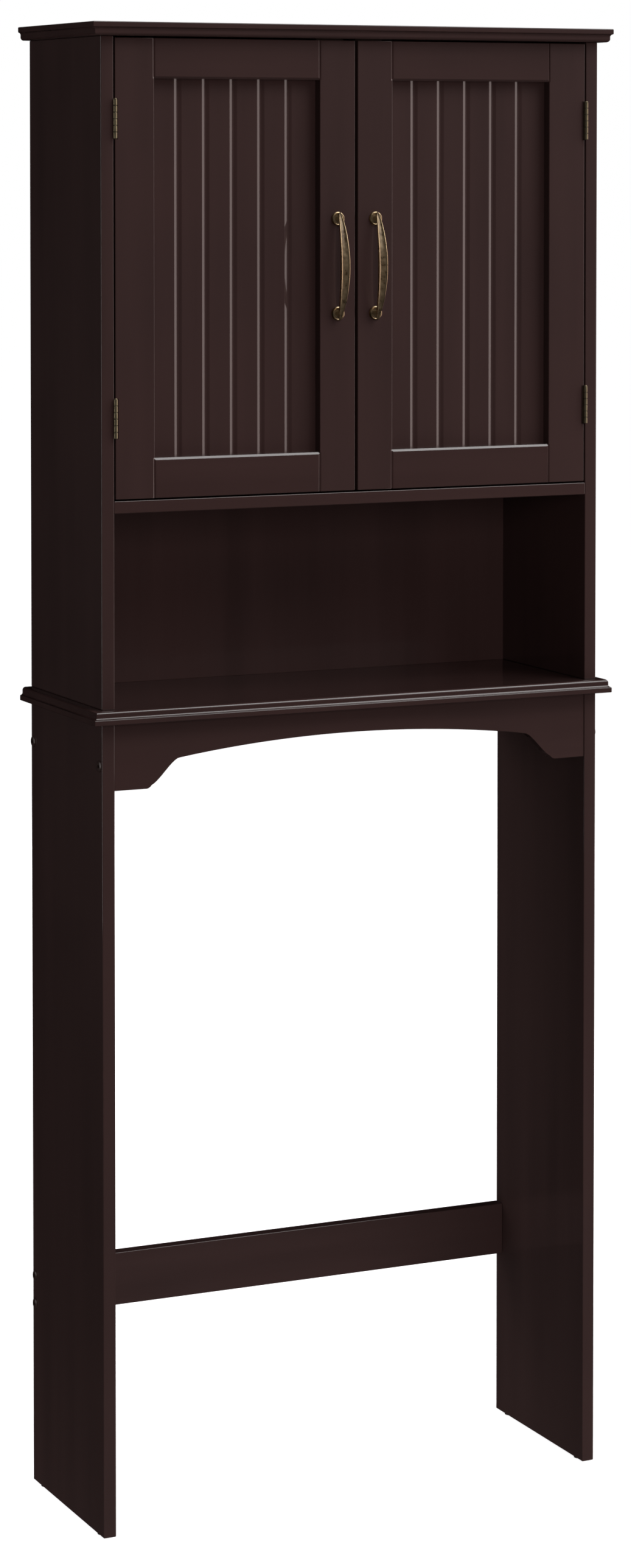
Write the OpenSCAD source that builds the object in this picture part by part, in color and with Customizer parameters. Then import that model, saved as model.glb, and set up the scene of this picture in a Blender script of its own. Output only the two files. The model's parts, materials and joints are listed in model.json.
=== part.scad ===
// Over-the-toilet storage rack: a two-door cabinet over an open shelf, standing on two
// full-depth leg panels. Millimetres. The origin is on the floor, at the middle of the
// whole footprint. +X is to the right, -Y is the front and +Z is up.

/* [Overall] */
// Height from the floor to the top face of the top board
total_h = 1700; // [1600:5:1850]
// Width over the outer faces of the side panels
body_w = 627; // [580:1:740]
// Depth of the side panels from front edge to rear edge
body_d = 220; // [200:1:280]
// Height of the underside of the middle shelf
leg_h = 920; // [860:5:980]
// Clear height of the open shelf under the cabinet
open_h = 218.5; // [180:0.5:260]

/* [Boards] */
// Thickness of the side and leg panels
side_t = 15; // [15:0.5:19]
// Thickness of the cabinet floor and the inner shelf
shelf_t = 14; // [14:0.5:18]
// Thickness of the two moulded boards
moulded_t = 15.5; // [15:0.5:18]
// Overhang of the moulded boards at the front and both sides
overhang = 14; // [13:0.5:20]
// Thickness of the apron and the rear rail
rail_t = 14; // [14:0.5:18]
// Thickness of the back panel
back_t = 5; // [3:0.5:6]
// Distance from the rear edges to the rear face of the back panel
back_inset = 9; // [6:0.5:16]

/* [Doors] */
// Thickness of the door frames
door_t = 18; // [18:0.5:20]
// Gap round the doors
door_gap = 1.8; // [1.5:0.1:2]
// Gap between the two doors
centre_gap = 3.6; // [2:0.2:4]
// Width of the stiles on the hinge side
hinge_stile_w = 47; // [44:1:60]
// Width of the stiles where the doors meet
meeting_stile_w = 44; // [42:1:60]
// Width of the door rails
door_rail_w = 45; // [40:1:60]
// Depth from the door face to the face of its panel
panel_recess = 13; // [9:0.5:13]
// Thickness of the door panel
panel_t = 4.5; // [4:0.5:5]
// Number of boards that the door panel imitates
panel_boards = 6; // [4:1:8]

/* [Hardware] */
// Distance between the two posts of a handle
handle_pitch = 108; // [96:1:128]
// How far a handle stands off the door
handle_reach = 22; // [20:0.5:28]
// Height of a hinge
hinge_h = 44; // [42:1:50]
// Distance from the door's ends to the middle of each hinge
hinge_inset = 90; // [60:1:120]

/* [Hidden] */
$fn = 48;
eps = 0.01;                     // keeps cutters clear of the faces they cut
cut = 1;                        // how far a cutter runs past a face

// Main planes. Every left part is drawn at negative X and mirrored for the right.
rear_y = (body_d + handle_reach) / 2;
front_y = rear_y - body_d;
half_w = body_w / 2;
inner_x = half_w - side_t;
shelf_z = leg_h;
shelf_top = shelf_z + moulded_t;
floor_z = shelf_top + open_h;
floor_top = floor_z + shelf_t;
cap_z = total_h - moulded_t;
back_y = rear_y - back_inset - back_t;
back_groove = 5;

// Moulded edge: a square nose, a cove above it and a rounded shoulder
nose_h = 6.2;
cove_r = 3;
shoulder_r = 3.8;
shoulder_x = overhang - cove_r;

// Apron outline, as drops below the middle shelf and distances from the middle
apron_end_drop = 76;
apron_mid_drop = 28;
apron_foot_w = 38;
apron_foot_r = 8;
apron_ogee_w = 32.2;
apron_ogee_rise = 28.5;
apron_recess = 1;
apron_y = front_y + apron_recess;

// Rails behind the toilet bay
rear_rail_h = 60;
stretcher_z = 200;
stretcher_h = 62;
stretcher_t = 16;

// Door frame
door_x0 = -inner_x + door_gap;
door_x1 = -centre_gap / 2;
door_z0 = floor_top + door_gap;
door_z1 = cap_z - door_gap;
door_mid_z = (door_z0 + door_z1) / 2;
stile_x = door_x0 + hinge_stile_w;
meeting_x = door_x1 - meeting_stile_w;
panel_z0 = door_z0 + door_rail_w;
panel_z1 = door_z1 - door_rail_w;
rabbet = 8;
tenon_l = 12;
tenon_t = 6;
tenon_side = 8;
joint_v_w = 1.5;
joint_v_d = 0.9;
rail_chamfer = 2.4;
board_w = (meeting_x - stile_x) / panel_boards;
flute_w = 9.2;
flute_floor = 2;
flute_d = 1.3;

// Hinges: three knuckles on each leaf
hinge_x = -inner_x + 1;
hinge_y = front_y - 2.6;
barrel_r = 2.2;
pin_r = 1.1;
pin_fit = 0.05;
leaf_t = 0.8;
leaf_d = 16;
leaf_off = 0.2;
knuckles = 6;
knuckle_h = hinge_h / knuckles;
knuckle_gap = 0.15;
leaf_clear = 0.4;
notch_w = 3.6;
notch_d = 3;
leaf_screw_z = 14;
leaf_screw_y = 11;
leaf_screw_l = 11;
leaf_screw_r = 1.3;
hinge_zs = [door_z0 + hinge_inset, door_z1 - hinge_inset];

// Handles
handle_x = door_x1 - meeting_stile_w / 2;
bow_t = 3;
bow_half_l = 61.8;
bow_drop = 15.5;
bow_r = (pow(62, 2) + pow(bow_drop, 2)) / (2 * bow_drop);
bow_half_w = 6;
bow_side_r = 503;
post_r = 3.2;
post_l = 8.6;
rosette_r = 8;
rosette_bead = 1.2;
rosette_base = 1.2;
handle_screw_r = 1.95;
handle_screw_l = 24.5;
handle_head_r = 4;
handle_head_t = 2.4;

// Magnetic catches under the top board
catch_w = 34;
catch_d = 17;
catch_h = 12;
catch_x = -24.5;
strike_t = 1.2;
catch_gap = 0.4;
catch_y = front_y + door_t + strike_t + catch_gap;
magnet_w = 20;
magnet_h = 6;
magnet_d = 9;
pole_t = 1;
catch_screw_x = 13.5;
catch_screw_l = 8;
strike_w = 24;
strike_h = 10;
strike_z = door_z1 - 6.5;

// Wall brackets inside the top of the cabinet
bracket_x = 200;
bracket_w = 20;
bracket_leg = 26;
bracket_t = 2;
bracket_hole_r = 2.6;
bracket_drop = 16;
bracket_screw_y = 16;

// Cam fittings, dowels and the screws under the upper sides
cam_r = 7.5;
cam_depth = 11.5;
cam_back = 30;
cam_fit = 0.1;
stud_r = 3;
stud_bore_r = 3.5;
stud_thread_l = 10;
stud_head_l = 3;
stud_neck_l = 5;
stud_neck_r = 1.7;
dowel_r = 4;
dowel_in = 20;
dowel_out = 9.5;
cam_ys = [front_y + 40, rear_y - 50];
leg_cam_ys = [front_y + 58, rear_y - 68];
dowel_ys = [front_y + 22, rear_y - 32];
leg_dowel_ys = [front_y + 84, rear_y - 94];
floor_dowel_r = 3;
floor_cam_depth = 10.5;
shelf_screw_r = 2.4;
shelf_screw_l = 48;
shelf_screw_head_r = 4.8;
shelf_screw_head_t = 2.6;

// Connector bolts through the leg panels
bolt_r = 3;
bolt_l = 48;
bolt_head_r = 6.5;
bolt_head_t = 2;
bolt_fit = 0.15;
nut_r = 5;
nut_in = 34;
bolt_z = leg_h - 48;
end_dowel_z = leg_h - 17;
apron_mid_y = apron_y + rail_t / 2;
rear_mid_y = rear_y - rail_t / 2;
stretcher_mid_y = rear_y - stretcher_t / 2;
stretcher_bolt_zs = [stretcher_z + 12, stretcher_z + 45];

// Inner shelf and its pins
inner_clear = 1;
inner_front = front_y + door_t + 8;
inner_z = door_mid_z - shelf_t / 2;
pin_hole_r = 2.5;
pin_hole_l = 9;
pin_pitch = 32;
pin_rows = 2;
pin_ys = [inner_front + 22, back_y - 26];
peg_r = 3.4;
peg_l = 7;

// Foot glides
glide_t = 2;
glide_r = 6;
glide_nail_r = 1.2;
glide_nail_l = 12;
glide_ys = [front_y + 22, rear_y - 22];

espresso = [0.21, 0.155, 0.145];
espresso_dark = [0.14, 0.10, 0.095];
brass = [0.55, 0.49, 0.36];
steel = [0.72, 0.73, 0.75];
plastic = [0.16, 0.13, 0.12];
beech = [0.78, 0.64, 0.45];

// Draws a left part as it is, and mirrors it for the right side
module sided(side) {
    if (side == "left") children();
    else mirror([1, 0, 0]) children();
}

module both_sides() {
    children();
    mirror([1, 0, 0]) children();
}

// Box from its lowest to its highest corner
module block(low, high) {
    translate(low) cube(high - low);
}

module rod_x(r, from, to, y, z, sides = $fn) {
    translate([from, y, z]) rotate([0, 90, 0]) cylinder(r = r, h = to - from, $fn = sides);
}

module rod_y(r, from, to, x, z) {
    translate([x, from, z]) rotate([-90, 0, 0]) cylinder(r = r, h = to - from);
}

module rod_z(r, from, to, x, y) {
    translate([x, y, from]) cylinder(r = r, h = to - from);
}

// ---- moulded boards ----

// Section of the moulded edge, outwards from the body face, with the nose at the bottom
module edge_section() {
    difference() {
        union() {
            square([shoulder_x - shoulder_r, moulded_t]);
            square([shoulder_x, moulded_t - shoulder_r]);
            translate([shoulder_x - shoulder_r, moulded_t - shoulder_r]) circle(r = shoulder_r);
            square([overhang, nose_h + cove_r]);
        }
        translate([overhang, nose_h + cove_r]) circle(r = cove_r);
    }
}

// Board with the moulding along its front and both ends, and a plain rear edge
module moulded_board() {
    intersection() {
        rotate([90, 0, 90])
            linear_extrude(height = body_w + 4 * overhang, center = true) {
                translate([front_y, 0]) mirror([1, 0]) edge_section();
                translate([front_y - eps, 0]) square([body_d + eps, moulded_t]);
            }
        translate([0, rear_y, 0]) rotate([90, 0, 0])
            linear_extrude(height = body_d + 2 * overhang) {
                for (m = [0, 1]) mirror([m, 0]) {
                    translate([half_w, 0]) edge_section();
                    square([half_w + eps, moulded_t]);
                }
            }
    }
}

// Places of the screws from under the middle shelf into the upper sides
module at_shelf_screws() {
    for (y = cam_ys) translate([-half_w + side_t / 2, y, shelf_z]) children();
}

module top_board() {
    color(espresso)
        difference() {
            translate([0, 0, total_h]) mirror([0, 0, 1]) moulded_board();
            both_sides() for (y = cam_ys)
                rod_z(stud_r + cam_fit, cap_z - cut, cap_z + stud_thread_l + 0.5, -half_w + side_t / 2, y);
            both_sides() for (y = dowel_ys)
                rod_z(dowel_r + cam_fit, cap_z - cut, cap_z + dowel_out + 0.5, -half_w + side_t / 2, y);
            both_sides() {
                for (dx = [-catch_screw_x, catch_screw_x])
                    rod_z(1.5, cap_z - cut, cap_z + catch_screw_l, catch_x + dx, catch_y + catch_d / 2);
                rod_z(1.7, cap_z - cut, cap_z + 10, -bracket_x, back_y - bracket_screw_y);
            }
        }
}

module middle_shelf() {
    color(espresso)
        difference() {
            translate([0, 0, shelf_z]) moulded_board();
            both_sides() {
                at_shelf_screws() {
                    translate([0, 0, -cut]) cylinder(r = shelf_screw_r + 0.2, h = moulded_t + 2 * cut);
                    translate([0, 0, -eps])
                        cylinder(r1 = shelf_screw_head_r + 0.2, r2 = shelf_screw_r + 0.2,
                                 h = shelf_screw_head_t);
                }
                for (y = dowel_ys)
                    rod_z(dowel_r + cam_fit, shelf_top - dowel_out - 0.5, shelf_top + cut,
                          -half_w + side_t / 2, y);
                for (y = leg_cam_ys)
                    rod_z(stud_r + cam_fit, shelf_z - cut, shelf_z + stud_thread_l + 0.5,
                          -half_w + side_t / 2, y);
                for (y = leg_dowel_ys)
                    rod_z(dowel_r + cam_fit, shelf_z - cut, shelf_z + dowel_out + 0.5,
                          -half_w + side_t / 2, y);
            }
        }
}

// ---- cam fittings, screws and dowels ----

// Stud pointing up from a joint plane at the origin, its head in the panel below
module cam_stud() {
    body_l = cam_back - stud_neck_l + 1;
    translate([0, 0, -body_l]) cylinder(r = stud_r, h = body_l + stud_thread_l);
    translate([0, 0, -body_l - stud_neck_l]) cylinder(r = stud_neck_r, h = stud_neck_l + eps);
    translate([0, 0, -body_l - stud_neck_l - stud_head_l + 1]) cylinder(r = stud_r, h = stud_head_l);
}

// Room for a stud below the joint plane and for its cam, which opens at -X by half_t
module cam_pocket(half_t, depth) {
    translate([0, 0, -cam_back]) cylinder(r = stud_bore_r, h = cam_back + cut);
    translate([half_t - depth, 0, -cam_back]) rotate([0, 90, 0])
        cylinder(r = cam_r + cam_fit, h = depth + cut);
}

// Cam disc with its cross slot, its open face at +X, centred on the cam's axis
module cam_disc(depth) {
    difference() {
        translate([-depth, 0, 0]) rotate([0, 90, 0]) cylinder(r = cam_r, h = depth);
        translate([-side_t / 2, 0, -4]) cylinder(r = stud_bore_r, h = cam_r + 5);
        translate([-1.5, -4, -0.8]) cube([3, 8, 1.6]);
        translate([-1.5, -0.8, -4]) cube([3, 1.6, 8]);
    }
}

// Joint planes on the left side: where the studs stand
module at_top_cams() {
    for (y = cam_ys) translate([-half_w + side_t / 2, y, cap_z]) children();
}

module at_leg_cams() {
    for (y = leg_cam_ys) translate([-half_w + side_t / 2, y, shelf_z]) children();
}

// The floor's studs point outwards, and its cams open downwards
module at_floor_cams() {
    for (y = cam_ys) translate([-inner_x, y, floor_z + shelf_t / 2]) rotate([0, 90, 180]) children();
}

module cam_studs() {
    color(steel) both_sides() {
        at_top_cams() cam_stud();
        at_leg_cams() cam_stud();
        at_floor_cams() rotate([0, 0, 180]) cam_stud();
    }
}

module cam_discs() {
    color(steel) both_sides() {
        at_top_cams() translate([side_t / 2, 0, -cam_back]) cam_disc(cam_depth - 0.3);
        at_leg_cams() translate([side_t / 2, 0, -cam_back]) cam_disc(cam_depth - 0.3);
        at_floor_cams() translate([shelf_t / 2, 0, -cam_back]) cam_disc(floor_cam_depth - 0.3);
    }
}

module shelf_screws() {
    color(steel) both_sides() at_shelf_screws() {
        cylinder(r = shelf_screw_r, h = shelf_screw_l);
        cylinder(r1 = shelf_screw_head_r, r2 = shelf_screw_r, h = shelf_screw_head_t);
    }
}

module wood_dowels() {
    color(beech) both_sides() {
        for (y = dowel_ys) {
            rod_z(dowel_r, cap_z - dowel_in, cap_z + dowel_out, -half_w + side_t / 2, y);
            rod_z(dowel_r, shelf_top - dowel_out, shelf_top + dowel_in, -half_w + side_t / 2, y);
            rod_x(floor_dowel_r, -inner_x - dowel_out, -inner_x + dowel_in, y, floor_z + shelf_t / 2);
        }
        for (y = leg_dowel_ys)
            rod_z(dowel_r, leg_h - dowel_in, leg_h + dowel_out, -half_w + side_t / 2, y);
        for (y = [apron_mid_y, rear_mid_y])
            rod_x(floor_dowel_r, -inner_x - dowel_out, -inner_x + dowel_in, y, end_dowel_z);
    }
}

// ---- upper carcass ----

module upper_side() {
    color(espresso)
        difference() {
            block([-half_w, front_y, shelf_top], [-inner_x, rear_y, cap_z]);
            block([-inner_x - back_groove, back_y, shelf_top - cut],
                  [-inner_x + cut, back_y + back_t, cap_z + cut]);
            at_top_cams() cam_pocket(side_t / 2, cam_depth);
            at_shelf_screws() cylinder(r = shelf_screw_r + 0.05, h = shelf_screw_l + 0.5);
            for (y = dowel_ys) {
                rod_z(dowel_r + cam_fit, cap_z - dowel_in - 0.5, cap_z + cut, -half_w + side_t / 2, y);
                rod_z(dowel_r + cam_fit, shelf_top - cut, shelf_top + dowel_in + 0.5,
                      -half_w + side_t / 2, y);
                rod_x(floor_dowel_r + cam_fit, -inner_x - dowel_out - 0.5, -inner_x + cut, y,
                      floor_z + shelf_t / 2);
            }
            for (y = cam_ys)
                rod_x(stud_r + cam_fit, -inner_x - stud_thread_l - 0.5, -inner_x + cut, y,
                      floor_z + shelf_t / 2);
            for (y = pin_ys, row = [-pin_rows:pin_rows])
                rod_x(pin_hole_r, -inner_x - pin_hole_l, -inner_x + cut, y,
                      inner_z - peg_r + row * pin_pitch);
            for (z = hinge_zs, dz = [-leaf_screw_z, leaf_screw_z])
                rod_x(leaf_screw_r + 0.05, -inner_x - leaf_screw_l, -inner_x + cut,
                      front_y + leaf_screw_y, z + dz);
        }
}

module cabinet_floor() {
    color(espresso)
        difference() {
            block([-inner_x, front_y, floor_z], [inner_x, back_y, floor_top]);
            both_sides() {
                at_floor_cams() cam_pocket(shelf_t / 2, floor_cam_depth);
                for (y = dowel_ys)
                    rod_x(floor_dowel_r + cam_fit, -inner_x - cut, -inner_x + dowel_in + 0.5, y,
                          floor_z + shelf_t / 2);
            }
        }
}

module inner_shelf() {
    color(espresso)
        block([-inner_x + inner_clear, inner_front, inner_z],
              [inner_x - inner_clear, back_y - inner_clear, inner_z + shelf_t]);
}

module shelf_pins() {
    color(steel) both_sides() for (y = pin_ys) {
        rod_x(pin_hole_r - 0.1, -inner_x - pin_hole_l + 0.5, -inner_x + eps, y, inner_z - peg_r);
        rod_x(peg_r, -inner_x, -inner_x + peg_l, y, inner_z - peg_r);
    }
}

module back_panel() {
    color(espresso_dark)
        difference() {
            block([-inner_x - back_groove, back_y, shelf_top],
                  [inner_x + back_groove, back_y + back_t, cap_z]);
            both_sides() rod_y(bracket_hole_r, back_y - cut, back_y + back_t + cut, -bracket_x,
                               cap_z - bracket_drop);
        }
}

// ---- legs and rails ----

module bolt_hole(y, z) {
    rod_x(bolt_r + bolt_fit, -half_w - cut, -inner_x + cut, y, z);
}

module leg_panel() {
    color(espresso)
        difference() {
            block([-half_w, front_y, glide_t], [-inner_x, rear_y, leg_h]);
            at_leg_cams() cam_pocket(side_t / 2, cam_depth);
            for (y = leg_dowel_ys)
                rod_z(dowel_r + cam_fit, leg_h - dowel_in - 0.5, leg_h + cut, -half_w + side_t / 2, y);
            for (y = [apron_mid_y, rear_mid_y]) {
                bolt_hole(y, bolt_z);
                rod_x(floor_dowel_r + cam_fit, -inner_x - dowel_out - 0.5, -inner_x + cut, y,
                      end_dowel_z);
            }
            for (z = stretcher_bolt_zs) bolt_hole(stretcher_mid_y, z);
            for (y = glide_ys)
                rod_z(glide_nail_r + 0.1, glide_t - cut, glide_t + glide_nail_l + 0.5,
                      -half_w + side_t / 2, y);
        }
}

// Bores in one end of a rail: a bolt with its barrel nut, let in from the rear or the front
module bolt_bores(y, z, nut_from, nut_to) {
    rod_x(bolt_r + bolt_fit, -inner_x - cut, -inner_x + bolt_l - side_t + 2, y, z);
    rod_y(nut_r + bolt_fit, nut_from, nut_to, -inner_x + nut_in - side_t, z);
}

module dowel_bore(y, z) {
    rod_x(floor_dowel_r + cam_fit, -inner_x - cut, -inner_x + dowel_in + 0.5, y, z);
}

// Outline of one half of the apron's lower edge, from its end to the middle
function ogee_share(u) = 0.55 * u + 0.45 * u * u * (3 - 2 * u);
function apron_edge() =
    let (
        x_foot = inner_x - apron_foot_w,
        foot_turn = 58,
        x_ogee = x_foot - apron_foot_r * sin(foot_turn),
        d_ogee = apron_end_drop - apron_foot_r * (1 - cos(foot_turn)),
        x_arch = x_ogee - apron_ogee_w,
        d_arch = d_ogee - apron_ogee_rise,
        rise = d_arch - apron_mid_drop,
        arch_r = (x_arch * x_arch + rise * rise) / (2 * rise)
    )
    concat(
        [[inner_x, apron_end_drop], [x_foot, apron_end_drop]],
        [for (a = [11.6:11.6:foot_turn])
            [x_foot - apron_foot_r * sin(a), apron_end_drop - apron_foot_r * (1 - cos(a))]],
        [for (u = [0.1:0.1:1])
            [x_ogee - apron_ogee_w * u, d_ogee - apron_ogee_rise * ogee_share(u)]],
        [for (u = [0.9:-0.1:0])
            [x_arch * u, apron_mid_drop + arch_r - sqrt(arch_r * arch_r - pow(x_arch * u, 2))]]
    );

module apron() {
    half = apron_edge();
    far = [for (i = [len(half) - 2:-1:0]) [-half[i].x, half[i].y]];
    outline = concat([[inner_x, 0]], half, far, [[-inner_x, 0]]);
    color(espresso)
        difference() {
            translate([0, apron_y + rail_t, leg_h]) rotate([90, 0, 0])
                linear_extrude(height = rail_t)
                    polygon([for (p = outline) [p.x, -p.y]]);
            both_sides() {
                bolt_bores(apron_mid_y, bolt_z, apron_y + 2, apron_y + rail_t + cut);
                dowel_bore(apron_mid_y, end_dowel_z);
            }
        }
}

module rear_rail() {
    color(espresso)
        difference() {
            block([-inner_x, rear_y - rail_t, leg_h - rear_rail_h], [inner_x, rear_y, leg_h]);
            both_sides() {
                bolt_bores(rear_mid_y, bolt_z, rear_y - rail_t - cut, rear_y - 2);
                dowel_bore(rear_mid_y, end_dowel_z);
            }
        }
}

module lower_stretcher() {
    color(espresso)
        difference() {
            block([-inner_x, rear_y - stretcher_t, stretcher_z],
                  [inner_x, rear_y, stretcher_z + stretcher_h]);
            both_sides() for (z = stretcher_bolt_zs)
                bolt_bores(stretcher_mid_y, z, rear_y - stretcher_t + 2, rear_y + cut);
        }
}

// Every connector bolt on the left: where it is in Y and Z
bolt_spots = concat(
    [[apron_mid_y, bolt_z], [rear_mid_y, bolt_z]],
    [for (z = stretcher_bolt_zs) [stretcher_mid_y, z]]
);

module connector_bolts() {
    color(brass) both_sides() for (spot = bolt_spots)
        difference() {
            union() {
                rod_x(bolt_r, -half_w - eps, -half_w + bolt_l, spot[0], spot[1]);
                rod_x(bolt_head_r, -half_w - bolt_head_t, -half_w, spot[0], spot[1]);
            }
            translate([-half_w - bolt_head_t - eps, spot[0], spot[1]]) rotate([0, 90, 0])
                cylinder(r = 2.3, h = 2.6, $fn = 6);
        }
}

// Barrel nuts lie across the rails, with a cross bore for the bolt
module barrel_nut(y, z, length) {
    difference() {
        rod_y(nut_r, y - length / 2, y + length / 2, -inner_x + nut_in - side_t, z);
        rod_x(bolt_r + bolt_fit, -inner_x, -inner_x + bolt_l, y, z);
    }
}

module barrel_nuts() {
    color(steel) both_sides() for (spot = bolt_spots) barrel_nut(spot[0], spot[1], 9);
}

module foot_glides() {
    color(plastic) both_sides() for (y = glide_ys) {
        rod_z(glide_r, 0, glide_t, -half_w + side_t / 2, y);
        rod_z(glide_nail_r, glide_t - eps, glide_t + glide_nail_l, -half_w + side_t / 2, y);
    }
}

// ---- hinges ----

// Knuckles of one leaf: first is 0 for the frame leaf and 1 for the door leaf
module knuckle_row(first, r, grow) {
    for (k = [first:2:knuckles - 1])
        translate([hinge_x, hinge_y, k * knuckle_h + knuckle_gap - grow])
            cylinder(r = r, h = knuckle_h - 2 * knuckle_gap + 2 * grow);
}

// Hinge leaf from z = 0 up. side is -1 on the frame and 1 on the door.
module leaf(side, first, bore_r) {
    x_near = side * leaf_off;
    x_far = side * (leaf_off + leaf_t);
    difference() {
        union() {
            block([hinge_x + min(x_near, x_far), hinge_y, 0],
                  [hinge_x + max(x_near, x_far), front_y + leaf_d, hinge_h]);
            knuckle_row(first, barrel_r, 0);
        }
        knuckle_row(1 - first, barrel_r + leaf_clear, 2 * knuckle_gap);
        translate([hinge_x, hinge_y, -cut]) cylinder(r = bore_r, h = hinge_h + 2 * cut);
        for (z = [hinge_h / 2 - leaf_screw_z, hinge_h / 2 + leaf_screw_z])
            rod_x(leaf_screw_r + 0.15, hinge_x - 2, hinge_x + 2, front_y + leaf_screw_y, z);
    }
}

module frame_leaf(z) {
    color(brass) translate([0, 0, z - hinge_h / 2]) leaf(-1, 0, pin_r);
}

module door_leaf(z) {
    color(brass) translate([0, 0, z - hinge_h / 2]) leaf(1, 1, pin_r + pin_fit);
}

module hinge_pins() {
    color(brass) both_sides() for (z = hinge_zs) {
        rod_z(pin_r, z - hinge_h / 2 + 0.2, z + hinge_h / 2, hinge_x, hinge_y);
        translate([hinge_x, hinge_y, z + hinge_h / 2 - eps])
            cylinder(r1 = barrel_r, r2 = pin_r, h = 1);
    }
}

// Wood screw with a low head on a leaf face, pointing along +X from the head's top face
module leaf_screw() {
    rotate([0, 90, 0]) {
        cylinder(r = 2.2, h = 0.15);
        cylinder(r = leaf_screw_r, h = leaf_screw_l);
    }
}

module frame_leaf_screws() {
    color(brass) both_sides() for (z = hinge_zs, dz = [-leaf_screw_z, leaf_screw_z])
        translate([hinge_x - leaf_off + 0.15, front_y + leaf_screw_y, z + dz]) mirror([1, 0, 0])
            leaf_screw();
}

module door_leaf_screws() {
    color(brass) for (z = hinge_zs, dz = [-leaf_screw_z, leaf_screw_z])
        translate([hinge_x + leaf_off - 0.15, front_y + leaf_screw_y, z + dz]) leaf_screw();
}

// ---- doors ----

// V groove along Z at the door face, which marks a joint between stile and rail
module joint_v(x, z0, z1) {
    slope = joint_v_w / joint_v_d;
    translate([x, front_y, z0]) linear_extrude(height = z1 - z0)
        polygon([[-joint_v_w - slope, -1], [joint_v_w + slope, -1], [0, joint_v_d]]);
}

module joint_vs() {
    for (x = [stile_x, meeting_x]) {
        joint_v(x, door_z0 - cut, panel_z0);
        joint_v(x, panel_z1, door_z1 + cut);
    }
}

// Space of the panel, which lies in a rebate at the back of the frame
module panel_space() {
    block([stile_x - rabbet, front_y + panel_recess, panel_z0 - rabbet],
          [meeting_x + rabbet, front_y + door_t + cut, panel_z1 + rabbet]);
}

// Tenons of the two rails, grown by fit for the mortises
module rail_tenons(fit) {
    for (z = [door_z0, panel_z1])
        block([stile_x - tenon_l - fit, front_y + panel_recess - tenon_t - 1, z + tenon_side],
              [meeting_x + tenon_l + fit, front_y + panel_recess - 1, z + door_rail_w - tenon_side]);
}

module hinge_stile() {
    color(espresso)
        difference() {
            block([door_x0, front_y, door_z0], [stile_x, front_y + door_t, door_z1]);
            joint_vs();
            panel_space();
            rail_tenons(0.5);
            for (z = hinge_zs) {
                block([door_x0 - cut, front_y - cut, z - hinge_h / 2 - 0.6],
                      [door_x0 + notch_w, front_y + notch_d, z + hinge_h / 2 + 0.6]);
                block([door_x0 - cut, front_y - cut, z - hinge_h / 2],
                      [hinge_x + leaf_off + leaf_t, front_y + leaf_d, z + hinge_h / 2]);
                for (dz = [-leaf_screw_z, leaf_screw_z])
                    rod_x(leaf_screw_r + 0.05, door_x0 - cut, door_x0 + leaf_screw_l,
                          front_y + leaf_screw_y, z + dz);
            }
        }
}

module meeting_stile() {
    color(espresso)
        difference() {
            block([meeting_x, front_y, door_z0], [door_x1, front_y + door_t, door_z1]);
            joint_vs();
            panel_space();
            rail_tenons(0.5);
            for (z = [-1, 1] * handle_pitch / 2)
                rod_y(handle_screw_r + 0.25, front_y - cut, front_y + door_t + cut, handle_x,
                      door_mid_z + z);
            rod_y(1.4, front_y + door_t - 10, front_y + door_t + cut, catch_x, strike_z);
        }
}

// Rail section: the chamfered edge faces the panel, at high Y of the section
module door_rail(z0) {
    rotate([90, 0, 90])
        translate([0, 0, stile_x])
            linear_extrude(height = meeting_x - stile_x)
                polygon([
                    [front_y, z0], [front_y + door_t, z0],
                    [front_y + door_t, z0 + door_rail_w],
                    [front_y + rail_chamfer * 0.7, z0 + door_rail_w],
                    [front_y, z0 + door_rail_w - rail_chamfer]
                ]);
}

module bottom_rail() {
    color(espresso)
        difference() {
            union() {
                door_rail(door_z0);
                intersection() {
                    rail_tenons(0);
                    block([door_x0, front_y, door_z0], [door_x1, front_y + door_t, panel_z0]);
                }
            }
            joint_vs();
            panel_space();
        }
}

module top_rail() {
    color(espresso)
        difference() {
            union() {
                translate([0, 0, door_z1]) mirror([0, 0, 1]) door_rail(0);
                intersection() {
                    rail_tenons(0);
                    block([door_x0, front_y, panel_z1], [door_x1, front_y + door_t, door_z1]);
                }
            }
            joint_vs();
            panel_space();
        }
}

// Cutter for a flute along Z: two slopes with a flat floor between them
module flute(x, z0, z1) {
    spread = cut * (flute_w - flute_floor) / (2 * flute_d);
    translate([x, front_y + panel_recess, z0]) linear_extrude(height = z1 - z0)
        polygon([
            [-flute_w / 2 - spread, -cut], [flute_w / 2 + spread, -cut],
            [flute_floor / 2, flute_d], [-flute_floor / 2, flute_d]
        ]);
}

// Panel with one flute between each two of its boards
module door_panel() {
    face_y = front_y + panel_recess;
    color(espresso)
        difference() {
            block([stile_x - rabbet, face_y, panel_z0 - rabbet],
                  [meeting_x + rabbet, face_y + panel_t, panel_z1 + rabbet]);
            for (i = [1:panel_boards - 1])
                flute(stile_x + i * board_w, panel_z0 - rabbet - cut, panel_z1 + rabbet + cut);
        }
}

// ---- handles ----

// Lens outline of the strap, seen from the front
module bow_outline() {
    intersection() {
        translate([bow_side_r - bow_half_w, 0]) circle(r = bow_side_r, $fn = 600);
        translate([bow_half_w - bow_side_r, 0]) circle(r = bow_side_r, $fn = 600);
        circle(r = bow_half_l, $fn = 200);
    }
}

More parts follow.
